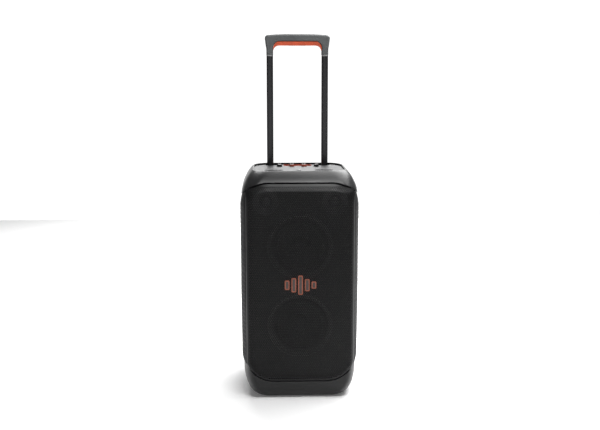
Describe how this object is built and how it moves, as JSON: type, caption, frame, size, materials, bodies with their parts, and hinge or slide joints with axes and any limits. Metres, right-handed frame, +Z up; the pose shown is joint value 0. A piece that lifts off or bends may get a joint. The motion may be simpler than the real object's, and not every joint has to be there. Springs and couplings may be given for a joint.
{
  "type": "party speaker",
  "caption": "Tall two-way party loudspeaker on rear wheels, with a telescopic trolley handle, top controls and a perforated front grille.",
  "frame": {"origin": "on the floor, under the middle of the body", "axes": "+Z up, -Y is the front with the grille, +X is the speaker's side on the right when looking at the front"},
  "size_m": [0.332, 0.32, 1.016],
  "materials": {
    "casing_plastic": "fine moulded grain",
    "side_plastic": "moulded in raised dots",
    "panel_plastic": "fine satin grain",
    "gloss_plastic": "semi-gloss black",
    "grille_paint": "powder-coated black, perforated",
    "grip_plastic": "soft-touch dark grey",
    "orange_rubber": "matt orange",
    "copper_badge": "copper-coloured satin",
    "black_rubber": "matt black",
    "wheel_tread": "matt black",
    "cone_paper": "treated black fibre",
    "circuit_board": "green solder mask",
    "anodised_tube": "black anodised",
    "bare_steel": "zinc plated",
    "black_steel": "black enamel",
    "light_diffuser": "smoked translucent"
  },
  "bodies": {
    "cabinet": {"cabinet_shell": "casing_plastic", "top_cap": "casing_plastic", "bottom_cap": "casing_plastic", "side_panel_left": "side_plastic", "side_panel_right": "side_plastic", "front_grille": "grille_paint", "front_baffle": "casing_plastic", "badge": "copper_badge", "front_foot_left": "black_rubber", "front_foot_right": "black_rubber", "woofer_upper_basket": "black_steel", "woofer_lower_basket": "black_steel", "woofer_upper_magnet": "bare_steel", "woofer_lower_magnet": "bare_steel", "woofer_upper_surround": "black_rubber", "woofer_lower_surround": "black_rubber", "light_ring_upper": "light_diffuser", "light_ring_lower": "light_diffuser", "tweeter_left": "casing_plastic", "tweeter_right": "casing_plastic", "control_panel": "panel_plastic", "grip_recess_liner": "orange_rubber", "power_light_ring": "light_diffuser", "control_board": "circuit_board", "guide_tube_left": "bare_steel", "guide_tube_right": "bare_steel", "wheel_axle": "bare_steel", "rear_panel": "casing_plastic", "bass_port": "gloss_plastic", "io_panel": "casing_plastic", "socket_board": "circuit_board", "mains_inlet": "gloss_plastic", "battery_pack": "gloss_plastic", "amplifier_board": "circuit_board", "power_supply_board": "circuit_board"},
    "handle": {"handle_grip": "grip_plastic", "grip_liner": "orange_rubber", "handle_tube_left": "anodised_tube", "handle_tube_right": "anodised_tube"},
    "release": {"release_button": "orange_rubber", "release_linkage": "bare_steel"},
    "pin_left": {"lock_pin_left": "bare_steel"},
    "pin_right": {"lock_pin_right": "bare_steel"},
    "knob_1": {"knob_1": "gloss_plastic"},
    "knob_2": {"knob_2": "gloss_plastic"},
    "knob_3": {"knob_3": "gloss_plastic"},
    "knob_4": {"knob_4": "gloss_plastic"},
    "pairing_button": {"pairing_button": "gloss_plastic"},
    "lights_button": {"lights_button": "gloss_plastic"},
    "power_button": {"power_button": "gloss_plastic"},
    "party_button": {"party_button": "gloss_plastic"},
    "bass_button": {"bass_button": "gloss_plastic"},
    "wheel_left": {"wheel_left_tyre": "wheel_tread", "wheel_left_hub": "casing_plastic"},
    "wheel_right": {"wheel_right_tyre": "wheel_tread", "wheel_right_hub": "casing_plastic"},
    "inlet_cover": {"inlet_cover": "black_rubber"},
    "battery_door": {"battery_door": "casing_plastic"},
    "cone_upper": {"woofer_upper_cone": "cone_paper"},
    "cone_lower": {"woofer_lower_cone": "cone_paper"}
  },
  "joints": [
    {"name": "handle_slide", "type": "slide", "parent": "cabinet", "child": "handle", "axis": [0, 0, 1], "range_m": [-0.347, 0]},
    {"name": "release_slide", "type": "slide", "parent": "handle", "child": "release", "axis": [0, 0, 1], "range_m": [0, 0.004], "stiffness_N_per_m": 1000, "springref_m": -0.003},
    {"name": "pin_left_slide", "type": "slide", "parent": "handle", "child": "pin_left", "axis": [-1, 0, 0], "range_m": [0, 0.003]},
    {"name": "pin_right_slide", "type": "slide", "parent": "handle", "child": "pin_right", "axis": [1, 0, 0], "range_m": [0, 0.003]},
    {"name": "knob_1_turn", "type": "hinge", "parent": "cabinet", "child": "knob_1", "pos_m": [-0.054, 0.055, 0.633], "axis": [0, 0, 1], "range_deg": [-150, 150]},
    {"name": "knob_2_turn", "type": "hinge", "parent": "cabinet", "child": "knob_2", "pos_m": [-0.018, 0.055, 0.633], "axis": [0, 0, 1], "range_deg": [-150, 150]},
    {"name": "knob_3_turn", "type": "hinge", "parent": "cabinet", "child": "knob_3", "pos_m": [0.018, 0.055, 0.633], "axis": [0, 0, 1], "range_deg": [-150, 150]},
    {"name": "knob_4_turn", "type": "hinge", "parent": "cabinet", "child": "knob_4", "pos_m": [0.054, 0.055, 0.633], "axis": [0, 0, 1], "range_deg": [-150, 150]},
    {"name": "pairing_press", "type": "slide", "parent": "cabinet", "child": "pairing_button", "axis": [0, 0, -1], "range_m": [0, 0.0012], "stiffness_N_per_m": 500, "springref_m": -0.002},
    {"name": "lights_press", "type": "slide", "parent": "cabinet", "child": "lights_button", "axis": [0, 0, -1], "range_m": [0, 0.0012], "stiffness_N_per_m": 500, "springref_m": -0.002},
    {"name": "power_press", "type": "slide", "parent": "cabinet", "child": "power_button", "axis": [0, 0, -1], "range_m": [0, 0.0012], "stiffness_N_per_m": 500, "springref_m": -0.002},
    {"name": "party_press", "type": "slide", "parent": "cabinet", "child": "party_button", "axis": [0, 0, -1], "range_m": [0, 0.0012], "stiffness_N_per_m": 500, "springref_m": -0.002},
    {"name": "bass_press", "type": "slide", "parent": "cabinet", "child": "bass_button", "axis": [0, 0, -1], "range_m": [0, 0.0012], "stiffness_N_per_m": 500, "springref_m": -0.002},
    {"name": "wheel_left_spin", "type": "hinge", "parent": "cabinet", "child": "wheel_left", "pos_m": [-0.1185, 0.112, 0.04], "axis": [1, 0, 0], "continuous": true},
    {"name": "wheel_right_spin", "type": "hinge", "parent": "cabinet", "child": "wheel_right", "pos_m": [0.1185, 0.112, 0.04], "axis": [1, 0, 0], "continuous": true},
    {"name": "inlet_cover_hinge", "type": "hinge", "parent": "cabinet", "child": "inlet_cover", "pos_m": [0.034, 0.1491, 0.4895], "axis": [1, 0, 0], "range_deg": [0, 120]},
    {"name": "battery_door_hinge", "type": "hinge", "parent": "cabinet", "child": "battery_door", "pos_m": [0, 0.1575, 0.1322], "axis": [-1, 0, 0], "range_deg": [0, 95]},
    {"name": "cone_upper_stroke", "type": "slide", "parent": "cabinet", "child": "cone_upper", "axis": [0, -1, 0], "range_m": [-0.004, 0.004], "stiffness_N_per_m": 1500},
    {"name": "cone_lower_stroke", "type": "slide", "parent": "cabinet", "child": "cone_lower", "axis": [0, -1, 0], "range_m": [-0.004, 0.004], "stiffness_N_per_m": 1500}
  ],
  "couplings": [
    {"joint": "pin_left_slide", "follows": "release_slide", "ratio": 0.75},
    {"joint": "pin_right_slide", "follows": "release_slide", "ratio": 0.75}
  ]
}
